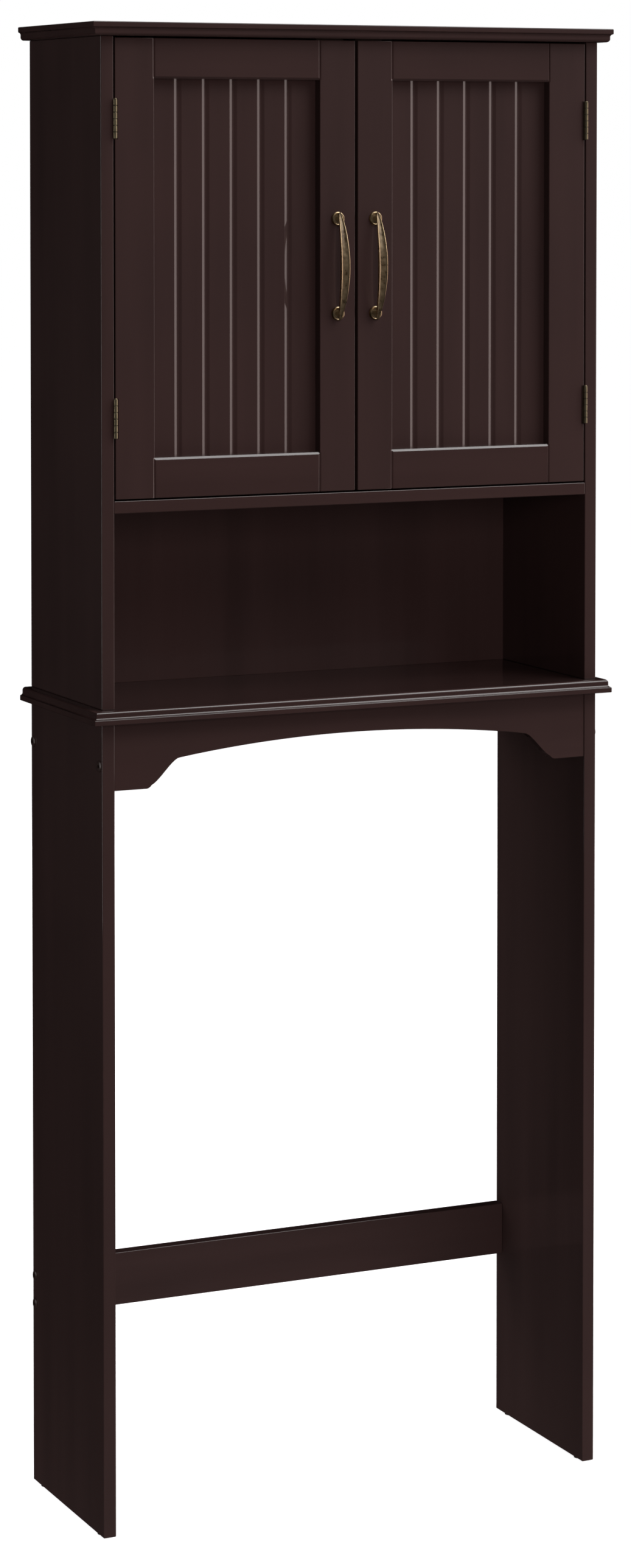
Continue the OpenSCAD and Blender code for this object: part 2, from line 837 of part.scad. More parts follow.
module handle_bow() {
    bow_centre_y = front_y - handle_reach + bow_r;
    color(brass)
        difference() {
            union() {
                intersection() {
                    difference() {
                        rod_x(bow_r, handle_x - 10, handle_x + 10, bow_centre_y, door_mid_z, 400);
                        rod_x(bow_r - bow_t, handle_x - 11, handle_x + 11, bow_centre_y,
                              door_mid_z, 400);
                    }
                    translate([handle_x, front_y, door_mid_z]) rotate([90, 0, 0])
                        linear_extrude(height = handle_reach + 1) bow_outline();
                }
                for (z = [-1, 1] * handle_pitch / 2)
                    rod_y(post_r, front_y - post_l, front_y, handle_x, door_mid_z + z);
            }
            for (z = [-1, 1] * handle_pitch / 2)
                rod_y(handle_screw_r + 0.1, front_y - 7, front_y + cut, handle_x, door_mid_z + z);
        }
}

module handle_rosettes() {
    color(brass) for (z = [-1, 1] * handle_pitch / 2)
        translate([handle_x, front_y, door_mid_z + z]) rotate([90, 0, 0])
            rotate_extrude() {
                translate([post_r + 0.1, 0])
                    square([rosette_r - rosette_bead - post_r - 0.1, rosette_base]);
                translate([rosette_r - rosette_bead, rosette_bead]) circle(r = rosette_bead);
                translate([rosette_r - 2 * rosette_bead, 0])
                    square([2 * rosette_bead, rosette_bead]);
            }
}

module handle_screws() {
    color(steel) for (z = [-1, 1] * handle_pitch / 2) {
        rod_y(handle_head_r, front_y + door_t, front_y + door_t + handle_head_t, handle_x,
              door_mid_z + z);
        rod_y(handle_screw_r, front_y + door_t - handle_screw_l, front_y + door_t + eps, handle_x,
              door_mid_z + z);
    }
}

// ---- catches and strikes ----

module catch_case() {
    mid_z = cap_z - catch_h / 2;
    color(plastic)
        difference() {
            block([catch_x - catch_w / 2, catch_y, cap_z - catch_h],
                  [catch_x + catch_w / 2, catch_y + catch_d, cap_z]);
            block([catch_x - magnet_w / 2, catch_y - cut, mid_z - magnet_h / 2 - pole_t],
                  [catch_x + magnet_w / 2, catch_y + magnet_d, mid_z + magnet_h / 2 + pole_t]);
            for (dx = [-catch_screw_x, catch_screw_x])
                rod_z(1.6, cap_z - catch_h - cut, cap_z + cut, catch_x + dx, catch_y + catch_d / 2);
        }
}

module catch_magnets() {
    mid_z = cap_z - catch_h / 2;
    color(plastic) both_sides()
        block([catch_x - magnet_w / 2, catch_y + 1, mid_z - magnet_h / 2],
              [catch_x + magnet_w / 2, catch_y + magnet_d, mid_z + magnet_h / 2]);
}

module catch_poles() {
    mid_z = cap_z - catch_h / 2;
    color(steel) both_sides() for (s = [-1, 1])
        translate([0, 0, mid_z + s * (magnet_h + pole_t) / 2])
            block([catch_x - magnet_w / 2, catch_y, -pole_t / 2],
                  [catch_x + magnet_w / 2, catch_y + magnet_d, pole_t / 2]);
}

module catch_screws() {
    color(steel) both_sides() for (dx = [-catch_screw_x, catch_screw_x]) {
        rod_z(1.4, cap_z - catch_h - eps, cap_z + catch_screw_l - 0.5, catch_x + dx,
              catch_y + catch_d / 2);
        rod_z(2.8, cap_z - catch_h - 1.4, cap_z - catch_h, catch_x + dx, catch_y + catch_d / 2);
    }
}

module strike_plate() {
    color(steel)
        difference() {
            block([catch_x - strike_w / 2, front_y + door_t, strike_z - strike_h / 2],
                  [catch_x + strike_w / 2, front_y + door_t + strike_t, strike_z + strike_h / 2]);
            rod_y(1.7, front_y + door_t - cut, front_y + door_t + strike_t + cut, catch_x, strike_z);
            translate([catch_x, front_y + door_t + strike_t + eps, strike_z]) rotate([90, 0, 0])
                cylinder(r1 = 2.8, r2 = 1.7, h = strike_t);
        }
}

module strike_screw() {
    color(steel) {
        translate([catch_x, front_y + door_t + strike_t, strike_z]) rotate([90, 0, 0])
            cylinder(r1 = 2.6, r2 = 1.3, h = strike_t);
        rod_y(1.3, front_y + door_t - 9.5, front_y + door_t + eps, catch_x, strike_z);
    }
}

// ---- wall brackets ----

module wall_bracket() {
    color(steel)
        difference() {
            union() {
                block([-bracket_x - bracket_w / 2, back_y - bracket_leg, cap_z - bracket_t],
                      [-bracket_x + bracket_w / 2, back_y, cap_z]);
                block([-bracket_x - bracket_w / 2, back_y - bracket_t, cap_z - bracket_leg],
                      [-bracket_x + bracket_w / 2, back_y, cap_z]);
            }
            rod_y(bracket_hole_r, back_y - bracket_t - cut, back_y + cut, -bracket_x,
                  cap_z - bracket_drop);
            rod_z(1.9, cap_z - bracket_t - cut, cap_z + cut, -bracket_x, back_y - bracket_screw_y);
        }
}

module wall_bracket_screws() {
    color(steel) both_sides() {
        rod_z(1.6, cap_z - bracket_t - eps, cap_z + 9.5, -bracket_x, back_y - bracket_screw_y);
        rod_z(3.4, cap_z - bracket_t - 1.8, cap_z - bracket_t, -bracket_x, back_y - bracket_screw_y);
    }
}

top_board();
upper_side();  // upper_side_left
sided("right") upper_side();  // upper_side_right
cabinet_floor();
inner_shelf();
shelf_pins();
back_panel();
middle_shelf();
leg_panel();  // leg_panel_left
sided("right") leg_panel();  // leg_panel_right
apron();
rear_rail();
lower_stretcher();
frame_leaf(hinge_zs[1]);  // frame_leaf_upper_left
frame_leaf(hinge_zs[0]);  // frame_leaf_lower_left
sided("right") frame_leaf(hinge_zs[1]);  // frame_leaf_upper_right
sided("right") frame_leaf(hinge_zs[0]);  // frame_leaf_lower_right
hinge_pins();
frame_leaf_screws();
catch_case();  // catch_case_left
sided("right") catch_case();  // catch_case_right
catch_magnets();
catch_poles();
catch_screws();
wall_bracket();  // wall_bracket_left
sided("right") wall_bracket();  // wall_bracket_right
wall_bracket_screws();
cam_studs();
cam_discs();
shelf_screws();
wood_dowels();
connector_bolts();
barrel_nuts();
foot_glides();
hinge_stile();  // hinge_stile_left
meeting_stile();  // meeting_stile_left
top_rail();  // top_rail_left
bottom_rail();  // bottom_rail_left
door_panel();  // door_panel_left
door_leaf(hinge_zs[1]);  // door_leaf_upper_left
door_leaf(hinge_zs[0]);  // door_leaf_lower_left
door_leaf_screws();  // door_leaf_screws_left
handle_bow();  // handle_bow_left
handle_rosettes();  // handle_rosettes_left
handle_screws();  // handle_screws_left
strike_plate();  // strike_plate_left
strike_screw();  // strike_screw_left
sided("right") hinge_stile();  // hinge_stile_right
sided("right") meeting_stile();  // meeting_stile_right
sided("right") top_rail();  // top_rail_right
sided("right") bottom_rail();  // bottom_rail_right
sided("right") door_panel();  // door_panel_right
sided("right") door_leaf(hinge_zs[1]);  // door_leaf_upper_right
sided("right") door_leaf(hinge_zs[0]);  // door_leaf_lower_right
sided("right") door_leaf_screws();  // door_leaf_screws_right
sided("right") handle_bow();  // handle_bow_right
sided("right") handle_rosettes();  // handle_rosettes_right
sided("right") handle_screws();  // handle_screws_right
sided("right") strike_plate();  // strike_plate_right
sided("right") strike_screw();  // strike_screw_right
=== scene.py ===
"""Looks of an over-the-toilet storage rack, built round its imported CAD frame.

Metres throughout, in the row frame: +X right, -Y front, +Z up, the floor at z = 0.
"""

import json
import math

import bmesh
import bpy
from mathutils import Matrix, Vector


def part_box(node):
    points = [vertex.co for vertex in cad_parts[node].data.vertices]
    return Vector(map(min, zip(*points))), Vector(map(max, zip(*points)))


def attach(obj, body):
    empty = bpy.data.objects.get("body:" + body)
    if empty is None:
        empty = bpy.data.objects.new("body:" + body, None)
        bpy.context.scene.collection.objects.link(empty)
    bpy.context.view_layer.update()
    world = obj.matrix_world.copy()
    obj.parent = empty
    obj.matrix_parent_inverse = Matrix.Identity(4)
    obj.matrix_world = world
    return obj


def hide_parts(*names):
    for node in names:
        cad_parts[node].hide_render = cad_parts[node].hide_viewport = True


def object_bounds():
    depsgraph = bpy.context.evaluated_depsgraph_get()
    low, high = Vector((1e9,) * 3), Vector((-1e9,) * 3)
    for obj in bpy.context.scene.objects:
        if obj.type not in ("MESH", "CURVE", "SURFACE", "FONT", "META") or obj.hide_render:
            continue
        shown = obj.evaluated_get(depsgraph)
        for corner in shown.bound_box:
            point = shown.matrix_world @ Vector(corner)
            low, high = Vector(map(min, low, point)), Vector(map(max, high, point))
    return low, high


MM = 0.001
SIDES = ("left", "right")
FORWARD = (0, -1, 0)

# ---- camera and light ----

CAMERA_PLACE = (-1.9298, -4.1087, 1.5502)
CAMERA_YAW = -25.10
CAMERA_PITCH = -2.3
CAMERA_LENS = 89.58
CAMERA_SHIFT_Y = -0.2998
CAMERA_SENSOR = 36
CAMERA_FAR = 200
FLOOR_TONE = 0.86
FLOOR_GLOW = 0.9
BOUNCE_GLOW = 1.05
FLOOR_REACH = 60
BOUNCE_LEFT = -0.6
BOUNCE_REACH = 2.2
BACKDROP_TONE = 1.0
SUN_STRENGTH = 0.5
SUN_ELEVATION = 50
SUN_AZIMUTH = 30
SUN_ANGLE = 30

# ---- easing of the board edges ----

BOARD_EASE = 0.9 * MM
DOOR_EASE = 0.8 * MM
BACK_EASE = 0.3 * MM
HINGE_EASE = 0.3 * MM
SHARP = math.radians(35)
SMOOTH = math.radians(40)
SQUARE = math.radians(60)
SHALLOW = math.radians(25)

# ---- door panels ----

PANEL_BOARDS = 6
FLUTE_W = 9.2 * MM
FLUTE_FLOOR = 2 * MM
FLUTE_D = 1.3 * MM
FLUTE_SHOULDER_R = 1.5 * MM
FLUTE_FLOOR_R = 0.8 * MM
ARC_STEPS = 4

# ---- handles ----

BOW_DROP = 15.5 * MM
BOW_CHORD = 62 * MM
BOW_T = 3 * MM
BOW_STATIONS = 72
BOW_TAPER = 0.72
TIP_POWER = 14
TIP_LEAST = 0.03
TIP_THINNING = 0.25
PATINA_EDGE = 0.72
PATINA_FADE = 0.16
HANDLE_SMOOTH = math.radians(50)
HANDLE_PITCH = 108 * MM
POST_R = 3.2 * MM
ROSETTE_R = 8 * MM
ROSETTE_BEAD = 1.2 * MM
DISH_R = 5.2 * MM
DISH_FLOOR = 0.6 * MM
THROAT_FLOOR = 0.5 * MM
ROUND_STEPS = 10
TURN = 48

# ---- hinges and bolts ----

KNUCKLES = 6
BARREL_R = 2.2 * MM
SHADED_END = 0.75 * MM
BOLT_R = 3 * MM
BOLT_HEAD_R = 6.5 * MM
BOLT_HEAD_T = 2 * MM
BOLT_SOCKET = 2 * MM
BOLT_RIM = 0.45 * MM

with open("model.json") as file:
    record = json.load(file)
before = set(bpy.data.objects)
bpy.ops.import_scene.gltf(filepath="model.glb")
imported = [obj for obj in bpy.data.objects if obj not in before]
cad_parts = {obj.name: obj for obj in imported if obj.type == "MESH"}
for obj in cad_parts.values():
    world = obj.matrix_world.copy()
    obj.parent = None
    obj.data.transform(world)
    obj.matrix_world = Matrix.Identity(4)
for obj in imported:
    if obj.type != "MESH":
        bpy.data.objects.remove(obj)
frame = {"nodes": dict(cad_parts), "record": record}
CAD_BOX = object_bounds()


# ---- node helpers ----


class Nodes:
    """A material's node tree, with its Principled shader."""

    def __init__(self, name):
        self.material = bpy.data.materials.new(name)
        self.material.use_nodes = True
        self.tree = self.material.node_tree
        self.shader = self.tree.nodes["Principled BSDF"]

    def add(self, kind, **values):
        node = self.tree.nodes.new(kind)
        for key, value in values.items():
            setattr(node, key, value)
        return node

    def link(self, source, target):
        self.tree.links.new(source, target)

    def set(self, **values):
        for key, value in values.items():
            self.shader.inputs[key.replace("_", " ")].default_value = value

    def place(self, scale=(1, 1, 1)):
        """Row-frame coordinates, stretched by scale."""
        where = self.add("ShaderNodeTexCoord")
        mapping = self.add("ShaderNodeMapping")
        mapping.inputs["Scale"].default_value = scale
        self.link(where.outputs["Object"], mapping.inputs["Vector"])
        return mapping.outputs["Vector"]

    def noise(self, place, scale, detail=3.0, roughness=0.55):
        noise = self.add("ShaderNodeTexNoise")
        noise.inputs["Scale"].default_value = scale
        noise.inputs["Detail"].default_value = detail
        noise.inputs["Roughness"].default_value = roughness
        self.link(place, noise.inputs["Vector"])
        return noise.outputs["Fac"]

    def spread(self, value, low, high, from_low=0.3, from_high=0.7):
        """Maps a noise value to low..high."""
        node = self.add("ShaderNodeMapRange")
        for key, number in zip(
            ("From Min", "From Max", "To Min", "To Max"), (from_low, from_high, low, high)
        ):
            node.inputs[key].default_value = number
        self.link(value, node.inputs["Value"])
        return node.outputs["Result"]

    def blend(self, factor, first, second):
        """Mix of two colours, each a colour or an output."""
        mix = self.add("ShaderNodeMix", data_type="RGBA")
        self.link(factor, mix.inputs["Factor"])
        for socket, colour in ((mix.inputs["A"], first), (mix.inputs["B"], second)):
            if isinstance(colour, tuple):
                socket.default_value = (*colour, 1)
            else:
                self.link(colour, socket)
        return mix.outputs["Result"]

    def bump(self, heights):
        """Adds bumps in turn: each is (height output, strength, distance)."""
        normal = None
        for height, strength, distance in heights:
            bump = self.add("ShaderNodeBump")
            bump.inputs["Strength"].default_value = strength
            bump.inputs["Distance"].default_value = distance
            self.link(height, bump.inputs["Height"])
            if normal:
                self.link(normal, bump.inputs["Normal"])
            normal = bump.outputs["Normal"]
        self.link(normal, self.shader.inputs["Normal"])


# ---- materials ----


def lacquer(name, tone, roughness, grain_axis=2, gloss=1.0):
    """Satin lacquer over fibreboard: a faint streak along the board and fine orange peel."""
    nodes = Nodes(name)
    stretch = [34, 34, 34]
    stretch[grain_axis] = 1.6
    streak = nodes.noise(nodes.place(stretch), 1.0, 5.0, 0.6)
    cloud = nodes.noise(nodes.place(), 5.0, 2.0)
    peel = nodes.noise(nodes.place(), 620.0, 2.0)
    fibre = nodes.noise(nodes.place([4 * s for s in stretch]), 4.0, 3.0)
    dark = tuple(0.86 * c for c in tone)
    light = tuple(1.12 * c for c in tone)
    warm = (1.16 * tone[0], 1.02 * tone[1], 0.98 * tone[2])
    base = nodes.blend(nodes.spread(streak, 0, 1), dark, light)
    tinted = nodes.blend(nodes.spread(cloud, 0, 0.5), base, warm)
    nodes.link(tinted, nodes.shader.inputs["Base Color"])
    worn = nodes.spread(cloud, roughness - 0.03, roughness + 0.05)
    nodes.link(worn, nodes.shader.inputs["Roughness"])
    nodes.set(Coat_Weight=gloss, Coat_Roughness=0.05, Specular_IOR_Level=0.15)
    nodes.bump([(fibre, 0.05, 0.0004), (peel, 0.035, 0.0003)])
    return nodes.material


def antique_brass(name, bright, dark, roughness=0.3, metal=1.0):
    """Brass with a brown patina in the hollows; on the hinges the same dark tone is painted shade
    at the knuckle gaps and on the leaves in the door gap. A point attribute of the mesh marks
    both.
    """
    nodes = Nodes(name)
    mark = nodes.add("ShaderNodeAttribute", attribute_name="patina_and_shade")
    mottle = nodes.noise(nodes.place((1, 1, 0.4)), 520.0, 3.0, 0.6)
    smudge = nodes.noise(nodes.place(), 160.0, 3.0)
    soft = nodes.add("ShaderNodeMath", operation="MULTIPLY_ADD")
    nodes.link(nodes.spread(mottle, -0.3, 0.3), soft.inputs[0])
    soft.inputs[1].default_value = 0.35
    nodes.link(mark.outputs["Fac"], soft.inputs[2])
    clamp = nodes.add("ShaderNodeClamp")
    nodes.link(soft.outputs[0], clamp.inputs["Value"])
    aged = nodes.blend(clamp.outputs["Result"], bright, dark)
    tarnish = tuple(0.72 * c for c in bright)
    toned = nodes.blend(nodes.spread(smudge, 0, 0.35), aged, tarnish)
    nodes.link(toned, nodes.shader.inputs["Base Color"])
    nodes.link(
        nodes.spread(smudge, roughness - 0.06, roughness + 0.1), nodes.shader.inputs["Roughness"]
    )
    nodes.link(
        nodes.spread(clamp.outputs["Result"], metal, 0.5 * metal, 0, 1),
        nodes.shader.inputs["Metallic"],
    )
    nodes.bump([(mottle, 0.12, 0.0002)])
    return nodes.material


def plated_steel(name, tone, roughness=0.32):
    """Zinc-plated steel with fine drawn lines."""
    nodes = Nodes(name)
    cloud = nodes.noise(nodes.place(), 240.0, 4.0)
    fine = nodes.noise(nodes.place((1, 1, 9)), 900.0, 2.0)
    shade = nodes.blend(nodes.spread(cloud, 0, 1), tuple(0.8 * c for c in tone), tone)
    nodes.link(shade, nodes.shader.inputs["Base Color"])
    nodes.link(nodes.spread(cloud, roughness, roughness + 0.12), nodes.shader.inputs["Roughness"])
    nodes.set(Metallic=1.0)
    nodes.bump([(fine, 0.08, 0.0001)])
    return nodes.material


def moulded(name, tone, roughness=0.5):
    """Moulded plastic, or sintered ferrite, with a fine speckle."""
    nodes = Nodes(name)
    speckle = nodes.noise(nodes.place(), 1400.0, 2.0)
    cloud = nodes.noise(nodes.place(), 60.0, 2.0)
    shade = nodes.blend(nodes.spread(cloud, 0, 1), tuple(0.85 * c for c in tone), tone)
    nodes.link(shade, nodes.shader.inputs["Base Color"])
    worn = nodes.spread(cloud, roughness - 0.05, roughness + 0.05)
    nodes.link(worn, nodes.shader.inputs["Roughness"])
    nodes.bump([(speckle, 0.12, 0.0001)])
    return nodes.material


def raw_beech(name):
    """Unfinished beech of the dowels."""
    nodes = Nodes(name)
    ring = nodes.noise(nodes.place((40, 900, 900)), 1.0, 4.0, 0.6)
    shade = nodes.blend(nodes.spread(ring, 0, 1), (0.50, 0.31, 0.16), (0.68, 0.49, 0.30))
    nodes.link(shade, nodes.shader.inputs["Base Color"])
    nodes.set(Roughness=0.7)
    nodes.bump([(ring, 0.2, 0.0002)])
    return nodes.material


ESPRESSO = (0.0360, 0.0190, 0.0178)
UPRIGHT = lacquer("espresso_upright", ESPRESSO, 0.46, 2)
LEVEL = lacquer("espresso_level", ESPRESSO, 0.4, 0)
# The back panel's paint is 12 % lighter than that of the other boards: painted light that
# brightens the shaded shelf bay.
BACK_PAINTED_LIGHTER = lacquer("espresso_back", tuple(1.12 * c for c in ESPRESSO), 0.5, 2, 0.5)
HANDLE_BRASS = antique_brass("handle_brass", (0.70, 0.52, 0.31), (0.055, 0.032, 0.015))
# The hinges' dark tone is mostly painted shade, at the knuckle gaps and on the leaves in the door
# gap.
HINGE_BRASS = antique_brass("hinge_brass", (0.42, 0.35, 0.22), (0.040, 0.028, 0.014), 0.36)
BRONZE = antique_brass("bolt_bronze", (0.085, 0.050, 0.042), (0.030, 0.017, 0.015), 0.3, 0.3)
STEEL = plated_steel("zinc_steel", (0.62, 0.63, 0.65))
BROWN_PLASTIC = moulded("brown_plastic", (0.05, 0.033, 0.028))
GLIDE_PLASTIC = moulded("glide_plastic", (0.03, 0.025, 0.022), 0.45)
FERRITE = moulded("magnet", (0.045, 0.045, 0.048), 0.6)
BEECH = raw_beech("beech")

SLOT_MATERIALS = {
    "espresso_paint": UPRIGHT,
    "espresso_back": BACK_PAINTED_LIGHTER,
    "handle_brass": HANDLE_BRASS,
    "hinge_brass": HINGE_BRASS,
    "bolt_bronze": BRONZE,
    "zinc_steel": STEEL,
    "brown_plastic": BROWN_PLASTIC,
    "glide_plastic": GLIDE_PLASTIC,
    "magnet": FERRITE,
    "beech": BEECH,
}
NODE_SLOT = {part["node"]: part["material_slot"] for part in frame["record"]["subparts"]}
NODE_BODY = {
    node: body
    for body, nodes in frame["record"]["behaviour"]["bodies"].items()
    for node in nodes
}


# ---- mesh helpers ----


def piece_from(bm, name, material, *nodes, smooth_angle=SHARP):
    """A piece that stands for CAD nodes: takes their body."""
    mesh = bpy.data.meshes.new(name)
    bmesh.ops.recalc_face_normals(bm, faces=bm.faces)
    bm.to_mesh(mesh)
    bm.free()
    mesh.shade_smooth()
    mesh.set_sharp_from_angle(angle=smooth_angle)
    mesh.materials.append(material)
    obj = bpy.data.objects.new(name, mesh)
    bpy.context.scene.collection.objects.link(obj)
    weighted = obj.modifiers.new("normals", "WEIGHTED_NORMAL")
    weighted.keep_sharp = True
    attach(obj, NODE_BODY[nodes[0]])
    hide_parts(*nodes)
    return obj


def mark_patina_and_shade(mesh, amount):
    """Writes amount(point), 0 bright to 1 dark, on every point of a mesh: patina, and on the
    hinges painted shade.
    """
    layer = mesh.attributes.new("patina_and_shade", "FLOAT", "POINT")
    for vertex, value in zip(mesh.vertices, layer.data):
        value.value = amount(vertex.co)


def long_sharp_edges(bm, shortest, angle):
    """Outward edges between flat faces that are long enough to be eased."""
    return [
        edge
        for edge in bm.edges
        if len(edge.link_faces) == 2
        and edge.calc_length() > shortest
        and edge.calc_face_angle_signed(0) > angle
    ]


def cad_copy(node):
    """A CAD node's mesh, with one face for each flat."""
    bm = bmesh.new()
    bm.from_mesh(frame["nodes"][node].data)
    bmesh.ops.remove_doubles(bm, verts=bm.verts, dist=1e-6)
    bmesh.ops.dissolve_limit(bm, angle_limit=math.radians(0.4), verts=bm.verts, edges=bm.edges)
    return bm


def eased(node, ease, material, shortest=12 * MM, segments=3, angle=SHARP, smooth=SMOOTH):
    """A copy of a CAD node with its long edges rounded over, as a board is before painting."""
    bm = cad_copy(node)
    bmesh.ops.bevel(
        bm,
        geom=long_sharp_edges(bm, shortest, angle),
        offset=ease,
        offset_type="OFFSET",
        segments=segments,
        profile=0.5,
        affect="EDGES",
        clamp_overlap=False,
    )
    return piece_from(bm, node + "_eased", material, node, smooth_angle=smooth)


def ring_of_points(bm, points):
    return [bm.verts.new(point) for point in points]


def bridge(bm, first, second, closed=True):
    """Quads between two rings of the same length."""
    count = len(first)
    for i in range(count if closed else count - 1):
        j = (i + 1) % count
        bm.faces.new((first[i], first[j], second[j], second[i]))


def lathe(bm, profile, centre, axis, steps=TURN):
    """Turns (radius, height) points about an axis through centre. Zero radius closes an end.

    A point with a third number is that many-sided, and its radius is that of the flats.
    """
    axis = Vector(axis).normalized()
    side = axis.orthogonal().normalized()
    other = axis.cross(side)
    last = None
    for radius, height, *sides in profile:
        middle = Vector(centre) + axis * height
        if radius < 1e-7:
            ring = [bm.verts.new(middle)]
        else:
            points = []
            for i in range(steps):
                t = 2 * math.pi * i / steps
                reach = radius
                if sides:
                    flat = 2 * math.pi / sides[0]
                    reach = radius / math.cos((t + flat / 2) % flat - flat / 2)
                points.append(middle + reach * (math.cos(t) * side + math.sin(t) * other))
            ring = ring_of_points(bm, points)
        if last is not None:
            if len(last) == 1:
                for i in range(steps):
                    bm.faces.new((last[0], ring[(i + 1) % steps], ring[i]))
            elif len(ring) == 1:
                for i in range(steps):
                    bm.faces.new((last[i], last[(i + 1) % steps], ring[0]))
            else:
                bridge(bm, last, ring)
        last = ring


def solid_boxes(node):
    """The box of each solid of a node."""
    bm = cad_copy(node)
    left = set(bm.verts)
    boxes = []
    while left:
        found, edge_of = set(), [left.pop()]
        while edge_of:
            vertex = edge_of.pop()
            found.add(vertex)
            for edge in vertex.link_edges:
                other = edge.other_vert(vertex)
                if other in left:
                    left.discard(other)
                    edge_of.append(other)
        xs, ys, zs = zip(*(v.co for v in found))
        boxes.append((Vector((min(xs), min(ys), min(zs))), Vector((max(xs), max(ys), max(zs)))))
    bm.free()
    return sorted(boxes, key=lambda box: tuple(round(c, 5) for c in box[0]))


# ---- boards ----

LEVEL_BOARDS = (
    "top_board",
    "middle_shelf",
    "cabinet_floor",
    "inner_shelf",
    "apron",
    "rear_rail",
    "lower_stretcher",
)
UPRIGHT_BOARDS = ("upper_side_left", "upper_side_right", "leg_panel_left", "leg_panel_right")
for board in LEVEL_BOARDS:
    eased(board, BOARD_EASE, LEVEL)
for board in UPRIGHT_BOARDS:
    eased(board, BOARD_EASE, UPRIGHT)
eased("back_panel", BACK_EASE, BACK_PAINTED_LIGHTER)


# ---- door panels on the frame ----


def arc_points(corner, before, after, radius):
    """Rounds the corner of a line of (x, y) points with an arc."""
    corner = Vector(corner)
    back = (Vector(before) - corner).normalized()
    on = (Vector(after) - corner).normalized()
    half = back.angle(on) / 2
    middle = corner + (back + on).normalized() * radius / math.sin(half)
    first = corner + back * radius / math.tan(half) - middle
    last = corner + on * radius / math.tan(half) - middle
    start = math.atan2(first.y, first.x)
    sweep = math.remainder(math.atan2(last.y, last.x) - start, 2 * math.pi)
    turns = [start + sweep * i / ARC_STEPS for i in range(ARC_STEPS + 1)]
    return [middle + radius * Vector((math.cos(t), math.sin(t))) for t in turns]


def door_panel(side):
    """Panel whose boards are parted by flutes with softened shoulders."""
    node = "door_panel_" + side
    low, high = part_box(node)
    stiles = [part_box(kind + "_stile_" + side) for kind in ("hinge", "meeting")]
    edges = sorted(x for box in stiles for x in (box[0].x, box[1].x))
    pitch = (edges[2] - edges[1]) / PANEL_BOARDS
    line = [Vector((low.x, low.y))]
    for i in range(1, PANEL_BOARDS):
        x = edges[1] + i * pitch
        right = (FLUTE_FLOOR / 2, FLUTE_W / 2, pitch / 2)
        across = [-a for a in reversed(right)] + list(right)
        deep = (0, 0, FLUTE_D, FLUTE_D, 0, 0)
        flute = [(x + a, low.y + d) for a, d in zip(across, deep)]
        radii = (FLUTE_SHOULDER_R, FLUTE_FLOOR_R, FLUTE_FLOOR_R, FLUTE_SHOULDER_R)
        for k, radius in enumerate(radii, 1):
            line += arc_points(flute[k], flute[k - 1], flute[k + 1], radius)
    line += [Vector((high.x, low.y)), Vector((high.x, high.y)), Vector((low.x, high.y))]
    bm = bmesh.new()
    rings = [ring_of_points(bm, [(p.x, p.y, z) for p in line]) for z in (low.z, high.z)]
    bridge(bm, *rings)
    for ring in rings:
        bm.faces.new(ring)
    piece_from(bm, "fluted_panel_" + side, UPRIGHT, node)


for side in SIDES:
    for kind, material in (
        ("hinge_stile_", UPRIGHT),
        ("meeting_stile_", UPRIGHT),
        ("top_rail_", LEVEL),
        ("bottom_rail_", LEVEL),
    ):
        eased(kind + side, DOOR_EASE, material, segments=4, angle=SQUARE, smooth=SHALLOW)
    door_panel(side)


# ---- handles ----

# Section of the strap: across from edge to edge (-1..1), and out from back to front (0..1)
STRAP_FRONT = (
    (-1.0, 0.50),
    (-0.99, 0.72),
    (-0.955, 0.89),
    (-0.87, 0.99),
    (-0.77, 0.99),
    (-0.68, 0.90),
    (-0.61, 0.76),
    (-0.52, 0.68),
    (-0.38, 0.62),
    (-0.2, 0.59),
    (0.0, 0.58),
)
STRAP_BACK = ((0.97, 0.22), (0.88, 0.06), (0.72, 0.0), (0.0, 0.0))


def strap_section():
    """Closed section, from the left edge over the front and round the back."""
    front = list(STRAP_FRONT) + [(-a, b) for a, b in reversed(STRAP_FRONT[:-1])]
    back = list(STRAP_BACK) + [(-a, b) for a, b in reversed(STRAP_BACK[:-1])]
    return front + back


